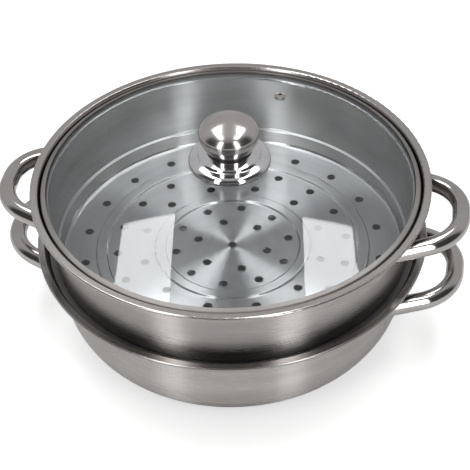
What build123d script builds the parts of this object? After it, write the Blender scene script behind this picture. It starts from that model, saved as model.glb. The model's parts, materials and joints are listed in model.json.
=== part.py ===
from build123d import *

import math
import os

# Two-tier steamer pot: a cooking pot, a perforated steamer that nests in its mouth, and a glass lid.
# Millimetres, +Z up. The origin is the middle of the base, on the surface that the pot stands on.
# The pot's handles lie on the X axis.

# Sheet and fits
sheet = 0.6
seat_gap = 0.3
close_fit = 0.05
overrun = 2.0

# Mouth, pressed alike in the pot and in the steamer, so that the lid fits both
rim_radius = 145.0
rim_width = 5.3
rim_height = 2.4
hem_return = 3.8
hem_corner = 1.0
lip_run = 2.3
ledge_drop = 6.4
ledge_angle = 17.0
ledge_corner = 1.4
ledge_toe = 1.2

# Pot
pot_ledge_width = 6.9
pot_height = 84.0
pot_corner = 46.0

# Capsule base under the pot
base_inset = 2.5
base_core_height = 3.4
base_cap_sheet = 0.6
base_cap_corner = 1.6

# Steamer
steamer_ledge_width = 5.4
steamer_shoulder_drop = 55.3
steamer_foot_clearance = 0.7
steamer_floor_drop = 68.3
steamer_shoulder_corner = 0.9
steamer_floor_corner = 3.5
steamer_turn = 2.5

# Pressed ribs and steam holes of the steamer's floor, as shares of the floor's radius
rib_height = 1.5
rib_slope = 1.6
rib_corner = 0.9
rib_shares = [(0.389, 0.463), (0.731, 0.806)]
hole_diameter = 6.6
hole_line_angle = 55.7
hole_ring_shares = [(0.209, 6), (0.334, 10), (0.527, 12), (0.673, 18), (0.867, 20)]

# Handles: bent tube loops, whose ends sit on brackets
tube_diameter = 13.0
tube_wall = 0.8
handle_overhang = 22.5
handle_root_half = 41.0
handle_tip_half = 27.0
handle_bend = 34.0
handle_root_drop = 22.5
handle_rise = 4.5

# Brackets that hold the tube ends, and the spot welds that hold the brackets
bracket_width = 20.0
bracket_height = 14.0
bracket_sheet = 1.2
bracket_corner = 2.0
plug_length = 9.0
weld_radius = 2.2
weld_depth = 0.25
weld_spacing = 8.0

# Glass of the lid
glass_edge_inset = 0.4
glass_thickness = 3.6
glass_rise = 17.95
glass_edge_round = 0.8
knob_hole_radius = 3.6

# Hoop that is rolled round the edge of the glass
hoop_sheet = 0.5
hoop_lip = 3.4
hoop_corner = 0.5

# Steam vent in the glass
vent_inset = 39.3
vent_angle = 77.7
vent_flange_radius = 4.9
vent_flange_height = 0.9
vent_barrel_radius = 3.1
vent_bore_radius = 1.7
vent_curl_radius = 4.2
vent_curl_height = 0.8

# Knob: a hollow ball of two pressed halves on a bell-shaped skirt
ball_radius = 21.6
ball_crown = 11.0
ball_crown_turn = 20.0
ball_shoulder_turn = 60.0
ball_edge_radius = 6.3
ball_depth = 12.0
ball_foot_inset = 5.1
ball_sheet = 0.6
bell_radius = 29.6
bell_height = 9.1
bell_sheet = 0.8
bell_edge_height = 3.4
bell_brim_width = 6.6
bell_brim_rise = 1.6
bell_step_width = 1.0
bell_step_rise = 1.6
bell_corners = [3.6, 0.8, 1.2, 1.5]
spacer_inset = 0.5
spacer_height = 2.75
gasket_width = 2.0
gasket_height = 0.6
insert_radius = 6.0
insert_height = 14.0
insert_flange_radius = 9.0
insert_flange_height = 1.4

# Screw, washers and seal under the glass
screw_radius = 2.5
screw_head_radius = 4.8
screw_head_height = 2.8
screw_slot_width = 1.0
screw_slot_depth = 1.3
screw_bite = 10.0
under_gasket_radius = 9.0
under_gasket_height = 1.5
under_washer_radius = 8.0
under_washer_height = 1.0

# Radii that follow from the rim, inwards and outwards
ledge_radius = rim_radius - rim_width - lip_run
pot_wall_radius = ledge_radius - pot_ledge_width
steamer_wall_radius = ledge_radius - steamer_ledge_width
steamer_foot_radius = pot_wall_radius - sheet - steamer_foot_clearance
base_radius = pot_wall_radius - pot_corner - base_inset
glass_radius = ledge_radius - glass_edge_inset
vent_place_radius = glass_radius - vent_inset
ball_foot_radius = ball_radius - ball_foot_inset
spacer_radius = ball_foot_radius - spacer_inset
handle_reach = rim_radius + handle_overhang

# Heights that follow from the sizes above
ledge_slope = math.tan(math.radians(ledge_angle))
base_height = base_core_height + base_cap_sheet
pot_rim = base_height + pot_height
ledge_clear = (sheet + seat_gap) / math.cos(math.radians(ledge_angle))


def ledge_height(radius, rim):
    # Height of the ledge's upper face at a radius, for a mouth whose rim is at the height given
    return rim - ledge_drop - (ledge_radius - radius) * ledge_slope


steamer_rim = ledge_height(steamer_wall_radius - sheet, pot_rim) + ledge_clear + steamer_shoulder_drop
steamer_floor = steamer_rim - steamer_floor_drop


def pressed_sheet(points, corners, thickness):
    # A turned sheet piece: the line is its upper face, from the axis outwards, and the sheet lies below it
    line = FilletPolyline(*points, radius=corners)
    section = make_face(Plane.XZ * offset(line, thickness, side=Side.RIGHT, closed=True))
    return revolve(section, Axis.Z)


def turned(points):
    # A solid of revolution from a closed outline of radius and height
    return revolve(make_face(Plane.XZ * Polyline(*points, close=True)), Axis.Z)


def washer(outer, inner, bottom, top):
    return turned([(inner, bottom), (outer, bottom), (outer, top), (inner, top)])


def mouth(wall_inside, rim):
    # Wall top, ledge for the lid, steep lip and flattened hem, with the radius of each corner
    inner_top = rim_radius - rim_width
    points = [
        (wall_inside, ledge_height(wall_inside, rim)),
        (ledge_radius, rim - ledge_drop),
        (inner_top, rim),
        (rim_radius, rim),
        (rim_radius, rim - rim_height),
        (rim_radius - hem_return, rim - rim_height),
    ]
    corners = [ledge_toe, ledge_corner, hem_corner, hem_corner, hem_corner]
    return points, corners


def weld_dimples(wall_inside, height, turn):
    # Pairs of shallow dimples inside the wall, one pair behind each bracket
    dome = (weld_radius**2 + weld_depth**2) / (2 * weld_depth)
    distance = wall_inside + weld_depth - dome
    swing = math.degrees(math.asin(handle_root_half / wall_inside))
    dimples = []
    for side in (0, 180):
        for foot in (swing, -swing):
            for level in (0.5, -0.5):
                place = Rot(0, 0, turn + side + foot) * Pos(distance, 0, height + level * weld_spacing)
                dimples.append(place * Sphere(dome))
    return dimples


def pot_shell():
    wall_inside = pot_wall_radius - sheet
    floor = base_height + sheet
    lip, lip_corners = mouth(wall_inside, pot_rim)
    points = [(0, floor), (wall_inside, floor)] + lip
    shell = pressed_sheet(points, [pot_corner - sheet] + lip_corners, sheet)
    return shell - weld_dimples(wall_inside, pot_rim - handle_root_drop, 0)


def base_core():
    # Aluminium disc that spreads the heat, rounded below to lie in the cap
    edge = base_radius - base_cap_sheet - close_fit
    core = washer(edge, 0, base_cap_sheet + close_fit, base_height - close_fit)
    return fillet(core.edges().sort_by(Axis.Z)[0], base_cap_corner - base_cap_sheet)


def base_cap():
    # Shallow steel cup round the core, its edge closed against the pot's floor
    line = FilletPolyline(
        (0, base_cap_sheet),
        (base_radius - base_cap_sheet, base_cap_sheet),
        (base_radius - base_cap_sheet, base_height - close_fit),
        radius=base_cap_corner - base_cap_sheet,
    )
    section = make_face(Plane.XZ * offset(line, base_cap_sheet, side=Side.RIGHT, closed=True))
    return revolve(section, Axis.Z)


def steamer_shell():
    wall_inside = steamer_wall_radius - sheet
    foot_inside = steamer_foot_radius - sheet
    shoulder = steamer_rim - steamer_shoulder_drop
    shoulder_foot = shoulder - (wall_inside - foot_inside) * ledge_slope
    points = [(0, steamer_floor)]
    corners = []
    for inner_share, outer_share in rib_shares:
        inner = inner_share * foot_inside
        outer = outer_share * foot_inside
        crest = steamer_floor + rib_height
        points += [(inner, steamer_floor), (inner + rib_slope, crest)]
        points += [(outer - rib_slope, crest), (outer, steamer_floor)]
        corners += [rib_corner] * 4
    points += [(foot_inside, steamer_floor), (foot_inside, shoulder_foot), (wall_inside, shoulder)]
    corners += [steamer_floor_corner, steamer_shoulder_corner, steamer_shoulder_corner]
    lip, lip_corners = mouth(wall_inside, steamer_rim)
    shell = pressed_sheet(points + lip, corners + lip_corners, sheet)
    shell -= weld_dimples(wall_inside, steamer_rim - handle_root_drop, steamer_turn)
    return shell - steam_holes(foot_inside)


def steam_holes(floor_radius):
    # One hole in the middle and five rings, which share one radial line
    cutter = Cylinder(hole_diameter / 2, 2 * (sheet + overrun))
    holes = [Pos(0, 0, steamer_floor) * cutter]
    for share, count in hole_ring_shares:
        for index in range(count):
            turn = hole_line_angle + index * 360 / count
            holes.append(Rot(0, 0, turn) * Pos(share * floor_radius, 0, steamer_floor) * cutter)
    return holes


def handle_line(start):
    # Middle line of a handle loop, in plan, from a radius inside the wall
    slant = (handle_root_half - handle_tip_half) / (handle_reach - pot_wall_radius)
    spread = handle_root_half + (pot_wall_radius - start) * slant
    points = [
        (start, -spread),
        (handle_reach, -handle_tip_half),
        (handle_reach, handle_tip_half),
        (start, spread),
    ]
    return FilletPolyline(*points, radius=handle_bend)


def handle_place(wall_radius, rim, turn):
    # The loop's plan, tilted up from its roots and set at its height on the wall
    root = Pos(wall_radius, 0, rim - handle_root_drop) * Rot(0, -handle_rise, 0) * Pos(-wall_radius, 0, 0)
    return Rot(0, 0, turn) * root


def handle_tube(wall_radius, rim, turn):
    line = handle_line(wall_radius - tube_diameter)
    start = Plane(line @ 0, z_dir=line % 0)
    outside = sweep(start * Circle(tube_diameter / 2), path=line)
    bore = sweep(start * Circle(tube_diameter / 2 - tube_wall), path=line)
    tube = handle_place(wall_radius, rim, turn) * (outside - bore)
    trim_radius = wall_radius + bracket_sheet + 2 * close_fit
    return tube - Pos(0, 0, rim - pot_height) * Cylinder(trim_radius, 4 * pot_height)


def handle_bracket(wall_radius, rim, turn, end):
    # Curved plate on the wall, with a plug that fills one end of the tube
    inner = wall_radius + close_fit
    outer = inner + bracket_sheet
    height = rim - handle_root_drop
    line = handle_line(wall_radius - tube_diameter)
    side = 2 * end - 1
    plug_radius = tube_diameter / 2 - tube_wall - 2 * close_fit
    plug_reach = tube_diameter + bracket_sheet + plug_length
    plug = Pos(0, 0, plug_reach / 2) * Cylinder(plug_radius, plug_reach)
    plug = Plane(line @ end, z_dir=(line % end) * -side) * plug
    plug = handle_place(wall_radius, rim, turn) * plug
    plug -= Pos(0, 0, height) * Cylinder(inner, 4 * bracket_height)
    band = washer(outer, inner, height - bracket_height, height + bracket_height)
    swing = math.degrees(math.asin(handle_root_half / wall_radius))
    outline = Plane.YZ * RectangleRounded(bracket_width, bracket_height, bracket_corner)
    window = extrude(outline, outer + overrun)
    plate = band & (Rot(0, 0, turn + side * swing) * Pos(0, 0, height) * window)
    return plate + plug


# Lid: the glass is a cap of a sphere, and the lid hangs by its hoop on the ledge of the steamer's mouth
dome_radius = (glass_radius**2 + glass_rise**2) / (2 * glass_rise)
edge_slope = math.asin(glass_radius / dome_radius)
hoop_depth = glass_thickness + close_fit + hoop_sheet
hoop_outside = hoop_corner + hoop_sheet


def glass_edge_height():
    # The hoop's lower outer corner clears the ledge by the seat gap
    out = close_fit + hoop_sheet - hoop_outside
    down = hoop_depth - hoop_outside
    corner_radius = glass_radius + out * math.cos(edge_slope) - down * math.sin(edge_slope)
    corner_fall = out * math.sin(edge_slope) + down * math.cos(edge_slope)
    rest = (hoop_outside + seat_gap) / math.cos(math.radians(ledge_angle))
    return ledge_height(corner_radius, steamer_rim) + rest + corner_fall


glass_edge = glass_edge_height()
dome_centre = glass_edge - dome_radius * math.cos(edge_slope)
glass_top = dome_centre + dome_radius
glass_bottom = glass_top - glass_thickness


def dome_height(radius, sphere_radius):
    return dome_centre + math.sqrt(sphere_radius**2 - radius**2)


def dome_place(radius, turn):
    # A place on the glass's upper face, its Z axis square to the glass
    lean = math.degrees(math.asin(radius / dome_radius))
    return Rot(0, 0, turn) * Pos(radius, 0, dome_height(radius, dome_radius)) * Rot(0, lean, 0)


def lid_glass():
    under_radius = dome_radius - glass_thickness
    under_edge = under_radius * math.sin(edge_slope)
    upper = [(r, dome_height(r, dome_radius)) for r in (knob_hole_radius, glass_radius / 2, glass_radius)]
    lower = [(r, dome_height(r, under_radius)) for r in (under_edge, under_edge / 2, knob_hole_radius)]
    outline = ThreePointArc(*upper) + Line(upper[2], lower[0])
    outline += ThreePointArc(*lower) + Line(lower[2], upper[0])
    section = make_face(Plane.XZ * outline)
    rounds = section.vertices().sort_by(Axis.X)[-2:]
    glass = revolve(fillet(rounds, glass_edge_round), Axis.Z)
    hole = Cylinder(vent_barrel_radius + close_fit, 4 * glass_thickness)
    return glass - dome_place(vent_place_radius, vent_angle) * hole


def lid_hoop():
    # Channel round the glass's edge, drawn square and then tilted with the glass
    line = FilletPolyline(
        (-hoop_lip, close_fit),
        (close_fit, close_fit),
        (close_fit, -glass_thickness - close_fit),
        (-hoop_lip, -glass_thickness - close_fit),
        radius=hoop_corner,
    )
    channel = make_face(Plane.XZ * offset(line, hoop_sheet, side=Side.LEFT, closed=True))
    tilt = Rot(0, math.degrees(edge_slope), 0)
    return revolve(Pos(glass_radius, 0, glass_edge) * tilt * channel, Axis.Z)


def vent_eyelet():
    # Flanged tube, curled over below the glass
    under = -glass_thickness - close_fit
    outline = [
        (vent_bore_radius, vent_flange_height),
        (vent_flange_radius, close_fit),
        (vent_barrel_radius, close_fit),
        (vent_barrel_radius, under),
        (vent_curl_radius, under),
        (vent_curl_radius, under - vent_curl_height),
        (vent_bore_radius, under - vent_curl_height),
    ]
    return dome_place(vent_place_radius, vent_angle) * turned(outline)


# Knob heights, from the glass upwards
bell_foot = dome_height(bell_radius, dome_radius) + gasket_height + close_fit
bell_crown = bell_foot + bell_height
spacer_top = bell_crown + close_fit + spacer_height
ball_foot = spacer_top + close_fit
ball_middle = ball_foot + ball_depth


def turned_sheet(outline, thickness, inwards):
    # Turned sheet of the knob: the line is its outer face
    return revolve(make_face(Plane.XZ * offset(outline, thickness, side=inwards, closed=True)), Axis.Z)


def knob_dome():
    # Upper half of the ball: a flattened oval of three arcs, each in line with the next
    crown_turn = math.radians(ball_crown_turn)
    shoulder_turn = math.radians(ball_shoulder_turn)
    reach = ball_radius - ball_edge_radius * (1 - math.sin(shoulder_turn))
    fall = ball_crown - ball_edge_radius * math.cos(shoulder_turn)

    # Reach and fall of the crown's arc and of the shoulder's, each for a radius of one
    crown_reach = math.sin(crown_turn)
    crown_fall = 1 - math.cos(crown_turn)
    shoulder_reach = math.sin(shoulder_turn) - crown_reach
    shoulder_fall = math.cos(crown_turn) - math.cos(shoulder_turn)
    common = crown_reach * shoulder_fall - shoulder_reach * crown_fall
    crown_radius = (reach * shoulder_fall - fall * shoulder_reach) / common
    shoulder_radius = (crown_reach * fall - crown_fall * reach) / common

    step = crown_radius - shoulder_radius
    crown_centre = ball_middle + ball_crown - crown_radius
    shoulder_centre = (step * crown_reach, crown_centre + step * math.cos(crown_turn))
    shoulder_start = 90 - ball_crown_turn
    edge_start = 90 - ball_shoulder_turn
    edge_centre = (ball_radius - ball_edge_radius, ball_middle)
    outline = CenterArc((0, crown_centre), crown_radius, 90, -ball_crown_turn)
    outline += CenterArc(shoulder_centre, shoulder_radius, shoulder_start, edge_start - shoulder_start)
    outline += CenterArc(edge_centre, ball_edge_radius, edge_start, -edge_start)
    return turned_sheet(outline, ball_sheet, Side.RIGHT)


def knob_cup():
    # Lower half of the ball: one arc, upright at the seam, down to a flat floor round the insert
    foot = (ball_foot_radius, ball_foot)
    side = TangentArc((ball_radius, ball_middle - close_fit), foot, tangent=(0, -1))
    floor = Line(foot, (insert_radius + close_fit, ball_foot))
    return turned_sheet(side + floor, ball_sheet, Side.RIGHT)


def knob_insert():
    # Threaded boss on the floor of the ball
    floor = ball_foot + ball_sheet + close_fit
    outline = [
        (screw_radius + close_fit, ball_foot),
        (insert_radius, ball_foot),
        (insert_radius, floor),
        (insert_flange_radius, floor),
        (insert_flange_radius, floor + insert_flange_height),
        (insert_radius, floor + insert_flange_height),
        (insert_radius, ball_foot + insert_height),
        (screw_radius + close_fit, ball_foot + insert_height),
    ]
    return turned(outline)


def knob_spacer():
    return washer(spacer_radius, screw_radius + close_fit, bell_crown + close_fit, spacer_top)


def knob_bell():
    # Skirt under the ball: a low cone, a small step and a brim with a rounded edge
    brim_top = bell_foot + bell_edge_height + bell_brim_rise
    brim_inner = bell_radius - bell_brim_width
    outline = FilletPolyline(
        (bell_radius, bell_foot),
        (bell_radius, bell_foot + bell_edge_height),
        (brim_inner, brim_top),
        (brim_inner - bell_step_width, brim_top + bell_step_rise),
        (ball_foot_radius, bell_crown),
        (screw_radius + close_fit, bell_crown),
        radius=bell_corners,
    )
    return turned_sheet(outline, bell_sheet, Side.LEFT)


def bell_gasket():
    # Seal between the bell's foot and the glass
    inner = bell_radius - gasket_width
    lift = close_fit
    outline = [
        (inner, dome_height(inner, dome_radius) + lift),
        (bell_radius, dome_height(bell_radius, dome_radius) + lift),
        (bell_radius, bell_foot),
        (inner, bell_foot),
    ]
    return turned(outline)


# Fastening under the glass, downwards
under_gasket_top = dome_height(under_gasket_radius, dome_radius - glass_thickness) - close_fit
under_washer_top = under_gasket_top - under_gasket_height
screw_seat = under_washer_top - under_washer_height


def under_gasket():
    return washer(under_gasket_radius, screw_radius + close_fit, under_washer_top, under_gasket_top)


def under_washer():
    return washer(under_washer_radius, screw_radius + close_fit, screw_seat, under_washer_top)


def knob_screw():
    # Pan-head screw, slotted, up through the glass into the ball's insert
    tip = ball_foot + screw_bite
    shank = washer(screw_radius, 0, screw_seat, tip)
    head = washer(screw_head_radius, 0, screw_seat - screw_head_height, screw_seat)
    head = fillet(head.edges().sort_by(Axis.Z)[0], screw_head_height / 2)
    slot = Box(2 * screw_head_radius + overrun, screw_slot_width, 2 * screw_slot_depth)
    return shank + head - Pos(0, 0, screw_seat - screw_head_height) * slot


def pieces():
    # Every piece under the name of its node
    parts = {
        "pot_shell": pot_shell(),
        "base_core": base_core(),
        "base_cap": base_cap(),
        "steamer_shell": steamer_shell(),
        "lid_glass": lid_glass(),
        "lid_hoop": lid_hoop(),
        "vent_eyelet": vent_eyelet(),
        "knob_dome": knob_dome(),
        "knob_cup": knob_cup(),
        "knob_insert": knob_insert(),
        "knob_spacer": knob_spacer(),
        "knob_bell": knob_bell(),
        "bell_gasket": bell_gasket(),
        "under_gasket": under_gasket(),
        "under_washer": under_washer(),
        "knob_screw": knob_screw(),
    }
    vessels = (
        ("pot", pot_wall_radius, pot_rim, 0),
        ("steamer", steamer_wall_radius, steamer_rim, steamer_turn),
    )
    sides = (("right", 0, ("front", "back")), ("left", 180, ("back", "front")))
    for vessel, wall_radius, rim, vessel_turn in vessels:
        for side, half_turn, feet in sides:
            turn = vessel_turn + half_turn
            parts[f"{vessel}_handle_{side}"] = handle_tube(wall_radius, rim, turn)
            for end, foot in enumerate(feet):
                parts[f"{vessel}_bracket_{side}_{foot}"] = handle_bracket(wall_radius, rim, turn, end)
    return parts


os.makedirs("parts", exist_ok=True)
for name, solid in pieces().items():
    export_step(solid, f"parts/{name}.step")
    print(name, round(solid.volume, 1))
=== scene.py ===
import json
import math

import bpy
from mathutils import Matrix, Vector

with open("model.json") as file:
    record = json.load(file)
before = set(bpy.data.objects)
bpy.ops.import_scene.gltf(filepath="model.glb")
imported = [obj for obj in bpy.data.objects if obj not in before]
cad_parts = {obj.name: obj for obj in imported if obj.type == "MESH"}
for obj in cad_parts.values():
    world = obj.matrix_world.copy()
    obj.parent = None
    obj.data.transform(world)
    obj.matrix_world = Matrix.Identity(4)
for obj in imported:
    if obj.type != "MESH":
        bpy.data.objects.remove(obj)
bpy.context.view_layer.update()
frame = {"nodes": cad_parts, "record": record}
nodes = frame["nodes"]
scene = bpy.context.scene
print("stage 1: frame loaded,", len(nodes), "CAD nodes")


# Shader maths: a wrapped socket that adds Math nodes when it is used in an expression
class Wire:
    def __init__(self, graph, socket):
        self.graph = graph
        self.socket = socket

    def math(self, operation, *others):
        values = dict(enumerate((self,) + others))
        return self.graph.add("ShaderNodeMath", {"operation": operation}, values)

    def flipped(self, operation, other):
        return self.graph.add("ShaderNodeMath", {"operation": operation}, {0: other, 1: self})

    def __add__(self, other):
        return self.math("ADD", other)

    def __radd__(self, other):
        return self.flipped("ADD", other)

    def __sub__(self, other):
        return self.math("SUBTRACT", other)

    def __rsub__(self, other):
        return self.flipped("SUBTRACT", other)

    def __mul__(self, other):
        return self.math("MULTIPLY", other)

    def __rmul__(self, other):
        return self.flipped("MULTIPLY", other)

    def __truediv__(self, other):
        return self.math("DIVIDE", other)

    def __pow__(self, other):
        return self.math("POWER", other)

    def swing(self, amount):
        # a noise, which lies between 0 and 1, as a change up or down of half the amount
        return (self - 0.5) * amount


class Graph:
    def __init__(self, name, owner=None):
        self.owner = owner or bpy.data.materials.new(name)
        self.owner.use_nodes = True
        self.tree = self.owner.node_tree
        self.tree.nodes.clear()

    def add(self, kind, settings=None, values=None, out=0):
        # a node: its type, its settings, then a value or a link for each input, and the output to use
        node = self.tree.nodes.new(kind)
        for key, value in (settings or {}).items():
            if key == "stops":
                ramp = node.color_ramp
                while len(ramp.elements) < len(value):
                    ramp.elements.new(0.5)
                for element, (place, level) in zip(ramp.elements, value):
                    element.position = place
                    element.color = (level, level, level, 1)
            else:
                setattr(node, key, value)
        for key, value in (values or {}).items():
            if isinstance(value, Wire):
                self.tree.links.new(value.socket, node.inputs[key])
            else:
                node.inputs[key].default_value = value
        return Wire(self, node.outputs[out]) if len(node.outputs) else None

    def place(self):
        return self.add("ShaderNodeTexCoord", out="Object")

    def split(self, vector):
        node = self.add("ShaderNodeSeparateXYZ", values={0: vector}).socket.node
        return [Wire(self, output) for output in node.outputs]

    def noise(self, vector, scale, detail, roughness):
        values = {"Vector": vector, "Scale": scale, "Detail": detail, "Roughness": roughness}
        return self.add("ShaderNodeTexNoise", None, values)

    def ramp(self, factor, *stops):
        return self.add("ShaderNodeValToRGB", {"stops": stops}, {0: factor})

    def between(self, factor, low, high):
        # from low to high as the factor goes from 0 to 1
        return self.add("ShaderNodeMapRange", None, {0: factor, 3: low, 4: high})

    def step(self, value, start, end):
        # 0 below start and 1 above end, with a soft change between them
        settings = {"interpolation_type": "SMOOTHSTEP"}
        return self.add("ShaderNodeMapRange", settings, {0: value, 1: start, 2: end, 3: 0.0, 4: 1.0})

    def mix(self, blend, factor, first, second):
        settings = {"data_type": "RGBA", "blend_type": blend}
        return self.add("ShaderNodeMix", settings, {0: factor, 6: first, 7: second}, out=2)

    def tint(self, factor, first, second):
        # from the first colour to the second as the factor goes from 0 to 1
        return self.mix("MIX", factor, first, second)

    def shade(self, colour, level):
        # a colour multiplied by a level
        grey = self.add("ShaderNodeCombineColor", None, {0: level, 1: level, 2: level})
        return self.mix("MULTIPLY", 1.0, colour, grey)

    def bump(self, height, strength, distance):
        values = {"Height": height, "Strength": strength, "Distance": distance}
        return self.add("ShaderNodeBump", None, values)

    def cameraRay(self):
        return self.add("ShaderNodeLightPath", out="Is Camera Ray")

    def shader(self, values):
        return self.add("ShaderNodeBsdfPrincipled", None, values)

    def surface(self, shader, other=None, share=None):
        # one shader, or two that are mixed by a share
        if other:
            shader = self.add("ShaderNodeMixShader", None, {0: share, 1: shader, 2: other})
        self.add("ShaderNodeOutputMaterial", None, {"Surface": shader})
        return self.owner


# Steel that is brushed or turned round the Z axis
turning = {
    "rotation": 0.25,  # in turns: highlights spread across the lines, not along them
    "depth": 0.0001,  # of the lines, in metres
}


def turnedLines(graph, across, around):
    # where to read a noise that is fine across the lines and long around them, and the radius
    x, y, z = graph.split(graph.place())
    radius = (x * x + y * y) ** 0.5
    place = {0: x / radius * around, 1: y / radius * around, 2: (z + radius) * across}
    return graph.add("ShaderNodeCombineXYZ", None, place), radius


# Satin walls and floors. Lines, bands and scales are in marks per metre, those around the axis
# in marks per radian, and reaches in metres.
brushed = {
    "outside": (0.67, 0.635, 0.62, 1),
    # painted shade and painted reflection: the inner faces are a darker, bluer copy of the outer steel
    "inside": (0.60, 0.59, 0.585, 1),
    "outerRoughness": 0.28,
    "innerRoughness": 0.20,
    "floorRoughness": 0.34,
    "spread": 1.0,
    "upShare": 2.0,  # how much a face that looks up counts as an inner one
    "sideSoftness": 0.1,
    "levelFrom": 0.5,
    "levelTo": 0.95,
    "lines": 900.0,
    "linesAround": 1.5,
    "lineSwing": 0.08,
    "lineStrength": 0.10,
    "bands": 120.0,
    "bandsAround": 0.8,
    "bandSwing": 0.05,
    "cloudScale": 14.0,
    "cloudSwing": 0.05,
    "stain": 0.86,  # level of the cloudy marks
    "stainFrom": 0.40,
    "stainTo": 0.70,
    # painted shade on outer faces where another face is close, as in the gap between the steamer and the
    # pot's rim
    "paintedShadeReach": 0.035,
    "paintedShadePower": 1.0,  # how much darker an outer face gets where another is close to it, as painted shade
    "paintedShadeSamples": 8,
}

# The polished mouth of both shells, with painted shade at the foot of the inner lip and on the pot's mouth
# under the steamer. Radii in metres.
mouth = {
    # painted shade: the pot's mouth is a darker copy of the steamer's, shaded under the steamer's rim
    "pot": (0.42, 0.40, 0.39, 1),
    "steamer": (0.53, 0.505, 0.49, 1),
    "paintedCreviceShade": (0.05, 0.045, 0.043, 1),  # painted shade at the foot of the steep inner lip
    "roughness": 0.22,
    "lineStrength": 0.05,
    "start": 0.1365,
    "softness": 0.0006,
    # radii where the painted crevice shade gives way to the mouth colour
    "lipFrom": 0.1382,
    "lipTo": 0.1390,
}


def facing(graph):
    # how far a face looks away from the axis, and how far it looks up
    x, y, _ = graph.split(graph.place())
    across, along, up = graph.split(graph.add("ShaderNodeTexCoord", out="Normal"))
    outward = (x * across + y * along) / (x * x + y * y) ** 0.5
    return outward, up


def paintedShadeLevel(graph):
    # 1 on an open face, and less where another face is close to it: the level of the painted shade
    settings = {"samples": brushed["paintedShadeSamples"]}
    values = {"Distance": brushed["paintedShadeReach"]}
    free = graph.add("ShaderNodeAmbientOcclusion", settings, values, out="AO")
    return free ** brushed["paintedShadePower"]


def wallShader(graph, fine):
    place, _ = turnedLines(graph, brushed["bands"], brushed["bandsAround"])
    bands = graph.noise(place, scale=1.0, detail=2.0, roughness=0.5)
    cloud = graph.noise(graph.place(), brushed["cloudScale"], detail=3.0, roughness=0.6)
    outward, up = facing(graph)
    softness = brushed["sideSoftness"]
    outside = graph.step(outward - up * brushed["upShare"], -softness, softness)
    # painted shade: inner faces take the darker, bluer copy of the steel
    colour = graph.tint(outside, brushed["inside"], brushed["outside"])
    stained = graph.step(cloud * 0.5 + bands * 0.5, brushed["stainFrom"], brushed["stainTo"])
    marks = 1 - stained * (1 - brushed["stain"])
    # painted shade: outer faces darkened where another face is close to them
    paintedShade = 1 - outside * (1 - paintedShadeLevel(graph))
    upright = graph.between(outside, brushed["innerRoughness"], brushed["outerRoughness"])
    level = graph.step(up, brushed["levelFrom"], brushed["levelTo"])
    smooth = graph.between(level, upright, brushed["floorRoughness"])
    wideSwing = bands.swing(brushed["bandSwing"]) + cloud.swing(brushed["cloudSwing"])
    return graph.shader({
        "Base Color": graph.shade(colour, marks * paintedShade),
        "Metallic": 1.0,
        "Roughness": smooth + fine.swing(brushed["lineSwing"]) + wideSwing,
        "Anisotropic": brushed["spread"],
        "Anisotropic Rotation": turning["rotation"],
        "Normal": graph.bump(fine, brushed["lineStrength"], turning["depth"]),
    })


def mouthShader(graph, fine, radius, colour):
    # painted shade: the crevice colour inside lipFrom, the mouth colour outside lipTo
    lip = graph.step(radius, mouth["lipFrom"], mouth["lipTo"])
    return graph.shader({
        "Base Color": graph.tint(lip, mouth["paintedCreviceShade"], colour),
        "Metallic": 1.0,
        "Roughness": mouth["roughness"] + fine.swing(brushed["lineSwing"]),
        "Normal": graph.bump(fine, mouth["lineStrength"], turning["depth"]),
    })


def brushedSteel(name, mouthColour):
    graph = Graph(name)
    lines, radius = turnedLines(graph, brushed["lines"], brushed["linesAround"])
    fine = graph.noise(lines, scale=1.0, detail=3.0, roughness=0.6)
    wall = wallShader(graph, fine)
    rim = mouthShader(graph, fine, radius, mouthColour)
    return graph.surface(wall, rim, graph.step(radius, mouth["start"], mouth["start"] + mouth["softness"]))


polished = {
    "colour": (0.59, 0.565, 0.55, 1),
    "smear": (0.50, 0.475, 0.46, 1),
    "waveScale": 60.0,
    "waveStrength": 0.15,
    "waveDepth": 0.0006,
    "hazeScale": 25.0,
    "hazeFrom": 0.35,
    "hazeTo": 0.7,
    "hazeSwing": 0.05,
    "tube": 0.10,
    "vent": 0.10,
    "sheet": 0.22,
    "fastener": 0.25,
    "aluminium": 0.35,
    "hoop": 0.50,
    "hoopLevel": 0.55,
}


def polishedSteel(name, roughness, level=1.0):
    graph = Graph(name)
    place = graph.place()
    wave = graph.noise(place, polished["waveScale"], detail=1.0, roughness=0.4)
    haze = graph.noise(place, polished["hazeScale"], detail=4.0, roughness=0.6)
    hazy = graph.step(haze, polished["hazeFrom"], polished["hazeTo"])
    return graph.surface(graph.shader({
        "Base Color": graph.shade(graph.tint(hazy, polished["colour"], polished["smear"]), level),
        "Metallic": 1.0,
        "Roughness": roughness + haze.swing(polished["hazeSwing"]),
        "Normal": graph.bump(wave, polished["waveStrength"], polished["waveDepth"]),
    }))


# Turned steel of the ball and the bell
turned = {
    "ball": (0.62, 0.585, 0.57, 1),
    "bell": (0.84, 0.83, 0.85, 1),
    "ballRoughness": 0.20,
    "bellRoughness": 0.09,
    "spread": 0.5,
    "lines": 1600.0,
    "linesAround": 2.0,
    "lineSwing": 0.12,
    "lineStrength": 0.10,
    "hazeScale": 40.0,
    "hazeFrom": 0.4,
    "hazeTo": 0.75,
    "hazeShade": 0.12,  # how much darker the haze is
    "hazeSwing": 0.06,
}


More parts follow.
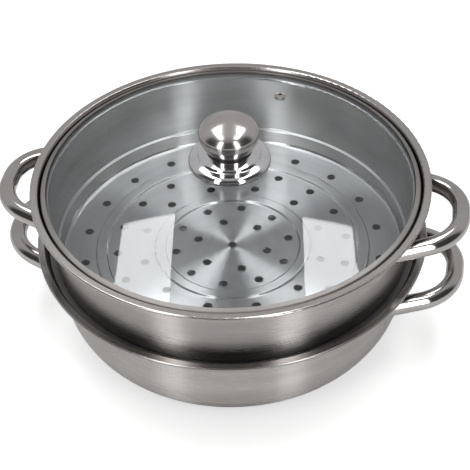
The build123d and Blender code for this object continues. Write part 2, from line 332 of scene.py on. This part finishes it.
def turnedSteel(name, colour, roughness):
    graph = Graph(name)
    lines, _ = turnedLines(graph, turned["lines"], turned["linesAround"])
    fine = graph.noise(lines, scale=1.0, detail=2.0, roughness=0.6)
    haze = graph.noise(graph.place(), turned["hazeScale"], detail=4.0, roughness=0.6)
    hazy = graph.step(haze, turned["hazeFrom"], turned["hazeTo"])
    return graph.surface(graph.shader({
        "Base Color": graph.shade(colour, 1 - hazy * turned["hazeShade"]),
        "Metallic": 1.0,
        "Roughness": roughness + fine.swing(turned["lineSwing"]) + haze.swing(turned["hazeSwing"]),
        "Anisotropic": turned["spread"],
        "Anisotropic Rotation": turning["rotation"],
        "Normal": graph.bump(fine, turned["lineStrength"], turning["depth"]),
    }))


glass = {
    "colour": (0.955, 0.985, 1.0, 1),
    "ior": 1.5,
    "roughness": 0.0,
}


def clearGlass():
    graph = Graph("clearGlass")
    return graph.surface(graph.shader({
        "Base Color": glass["colour"],
        "Roughness": glass["roughness"],
        "IOR": glass["ior"],
        "Transmission Weight": 1.0,
    }))


# Black plastic and rubber
black = {
    "colour": (0.016, 0.015, 0.015, 1),
    "worn": (0.008, 0.008, 0.008, 1),
    "spacer": 0.40,
    "seal": 0.55,
    "grainScale": 900.0,
    "grainSwing": 0.15,
    "grainStrength": 0.2,
    "grainDepth": 0.0001,
}


def mouldedBlack(name, roughness):
    graph = Graph(name)
    grain = graph.noise(graph.place(), black["grainScale"], detail=2.0, roughness=0.6)
    return graph.surface(graph.shader({
        "Base Color": graph.tint(grain, black["colour"], black["worn"]),
        "Roughness": roughness + grain.swing(black["grainSwing"]),
        "Normal": graph.bump(grain, black["grainStrength"], black["grainDepth"]),
    }))


# One finish for each material slot, and one for the bell, which shares its slot with the ball
finishes = {
    "pot_steel": brushedSteel("potSteel", mouth["pot"]),
    "steamer_steel": brushedSteel("steamerSteel", mouth["steamer"]),
    "base_steel": brushedSteel("baseSteel", mouth["pot"]),
    "base_aluminium": polishedSteel("paleAluminium", polished["aluminium"]),
    "handle_steel": polishedSteel("polishedTube", polished["tube"]),
    "bracket_steel": polishedSteel("plainSheet", polished["sheet"]),
    "hoop_steel": polishedSteel("satinHoop", polished["hoop"], polished["hoopLevel"]),
    "vent_steel": polishedSteel("polishedVent", polished["vent"]),
    "knob_steel": turnedSteel("turnedBall", turned["ball"], turned["ballRoughness"]),
    "fastener_steel": polishedSteel("plainFastener", polished["fastener"]),
    "spacer_black": mouldedBlack("blackSpacer", black["spacer"]),
    "seal_silicone": mouldedBlack("darkSilicone", black["seal"]),
    "lid_glass": clearGlass(),
}
ownFinishes = {"knob_bell": turnedSteel("turnedBell", turned["bell"], turned["bellRoughness"])}
for part in frame["record"]["subparts"]:
    mesh = nodes[part["node"]].data
    mesh.materials.clear()
    mesh.materials.append(ownFinishes.get(part["node"], finishes[part["material_slot"]]))
print("stage 2: finishes,", len(finishes) + len(ownFinishes))


# Camera and lights stand in a studio that is turned against the pot, at the height of the steamer's rim.
# Lengths are in metres and angles in degrees.
studio = {
    "turn": 12.3,
    "rimHeight": 0.1360,
    "rimRadius": 0.145,
    "distanceShare": 6.3738,
    "elevation": 39.05,
    "roll": 1.987,
    "focalPixels": 1274.69,
    "imagePixels": 470,
    "rimCentrePixel": (230.185, 175.869),
    "sensorMillimetres": 36,
}


def studioPlace():
    turn = Matrix.Rotation(math.radians(studio["turn"]), 4, "Z")
    return turn @ Matrix.Translation((0, 0, studio["rimHeight"]))


def makeCamera():
    rise = math.radians(studio["elevation"])
    back = Vector((0, -math.cos(rise), math.sin(rise)))
    right = Vector((1, 0, 0))
    up = back.cross(right)
    half = studio["imagePixels"] / 2
    pixelX, pixelY = studio["rimCentrePixel"]
    aim = Vector((pixelX - half, half - pixelY, -studio["focalPixels"]))
    swing = Vector((0, 0, -1)).rotation_difference(aim).to_matrix()
    level = Matrix((right, up, back))
    toCamera = swing @ Matrix.Rotation(math.radians(studio["roll"]), 3, "Z") @ level
    place = Matrix.Translation(back * studio["distanceShare"] * studio["rimRadius"])
    data = bpy.data.cameras.new("camera")
    data.sensor_width = studio["sensorMillimetres"]
    data.lens = data.sensor_width * studio["focalPixels"] / studio["imagePixels"]
    camera = bpy.data.objects.new("camera", data)
    camera.matrix_world = studioPlace() @ place @ toCamera.transposed().to_4x4()
    scene.collection.objects.link(camera)
    scene.camera = camera


# Boxes of light: the corner that each starts from, the two sides that span it and its radiance
lights = {
    "overheadLeft": {
        "corner": (-0.475, -0.25, 1.0),
        "across": (0.225, -0.005, 0),
        "along": (0.02, 0.99, 0),
        "radiance": 5.8,
    },
    "overheadRight": {
        "corner": (0.242, -0.25, 1.0),
        "across": (0.212, -0.011, 0),
        "along": (0.04, 0.94, 0),
        "radiance": 5.9,
    },
    "standingLeft": {
        "corner": (-0.520, -0.600, -0.05),
        "across": (0.15, -0.10, 0),
        "along": (0, 0, 1.06),
        "radiance": 5.0,
    },
    "standingRight": {
        "corner": (0.360, -0.850, -0.05),
        "across": (0.18, 0.11, 0),
        "along": (0, 0, 1.20),
        "radiance": 5.0,
    },
}


def makeLights():
    for name, box in lights.items():
        corner, across, along = (Vector(box[key]) for key in ("corner", "across", "along"))
        middle = corner + across / 2 + along / 2
        away = across.cross(along).normalized()
        if away.dot(middle) < 0:
            away.negate()  # a light shines along its -Z axis, so its +Z axis points away from the pot
        data = bpy.data.lights.new(name, "AREA")
        data.shape = "RECTANGLE"
        data.size = across.length
        data.size_y = along.length
        data.energy = box["radiance"] * math.pi * data.size * data.size_y
        light = bpy.data.objects.new(name, data)
        right = across.normalized()
        axes = Matrix((right, away.cross(right), away)).transposed()
        light.matrix_world = studioPlace() @ Matrix.Translation(middle) @ axes.to_4x4()
        scene.collection.objects.link(light)


# What the steel mirrors behind, above and in front, and what the camera sees
surroundings = {
    "back": 0.46,
    "top": 0.34,
    "front": 0.06,
    "seen": 1.0,
    "backFrom": 0.44,
    "backTo": 0.56,
    "topFrom": 0.72,
    "topTo": 0.92,
}


def makeWorld():
    world = bpy.data.worlds.new("surroundings")
    scene.world = world
    graph = Graph("surroundings", world)
    way = graph.add("ShaderNodeTexCoord", out="Generated")
    turn = {"Vector": way, "Angle": -math.radians(studio["turn"])}
    way = graph.add("ShaderNodeVectorRotate", {"rotation_type": "Z_AXIS"}, turn)
    x, y, z = graph.split(way)
    behind = graph.ramp(y * 0.5 + 0.5, (surroundings["backFrom"], 0.0), (surroundings["backTo"], 1.0))
    above = graph.ramp(z, (surroundings["topFrom"], 0.0), (surroundings["topTo"], 1.0))
    front = surroundings["front"] + above * (surroundings["top"] - surroundings["front"])
    room = front + behind * (surroundings["back"] - front)
    seen = graph.cameraRay()
    level = room * (1 - seen) + seen * surroundings["seen"]
    light = graph.add("ShaderNodeBackground", None, {"Color": (1, 1, 1, 1), "Strength": level})
    graph.add("ShaderNodeOutputWorld", None, {"Surface": light})


# The stage floor: white to the camera, and greyer where the steel mirrors it
floor = {
    "size": 8.0,
    "colour": (0.90, 0.90, 0.895, 1),
    "glow": 0.50,
    "mirrored": (0.78, 0.78, 0.78, 1),
    "roughness": 0.85,
    "grainScale": 300.0,
    "grainSwing": 0.1,
}


def makeFloor():
    half = floor["size"] / 2
    corners = [(-half, -half, 0), (half, -half, 0), (half, half, 0), (-half, half, 0)]
    mesh = bpy.data.meshes.new("floor")
    mesh.from_pydata(corners, [], [(0, 1, 2, 3)])
    graph = Graph("paleFloor")
    grain = graph.noise(graph.place(), floor["grainScale"], detail=2.0, roughness=0.5)
    roughness = floor["roughness"] + grain.swing(floor["grainSwing"])
    mirrored = graph.shader({"Base Color": floor["mirrored"], "Roughness": roughness})
    pale = graph.shader({
        "Base Color": floor["colour"],
        "Roughness": roughness,
        "Emission Color": (1, 1, 1, 1),
        "Emission Strength": floor["glow"],
    })
    mesh.materials.append(graph.surface(mirrored, pale, graph.cameraRay()))
    board = bpy.data.objects.new("floor", mesh)
    scene.collection.objects.link(board)


makeCamera()
makeLights()
makeWorld()
makeFloor()
scene.view_settings.view_transform = "Standard"
print("stage 3: studio")
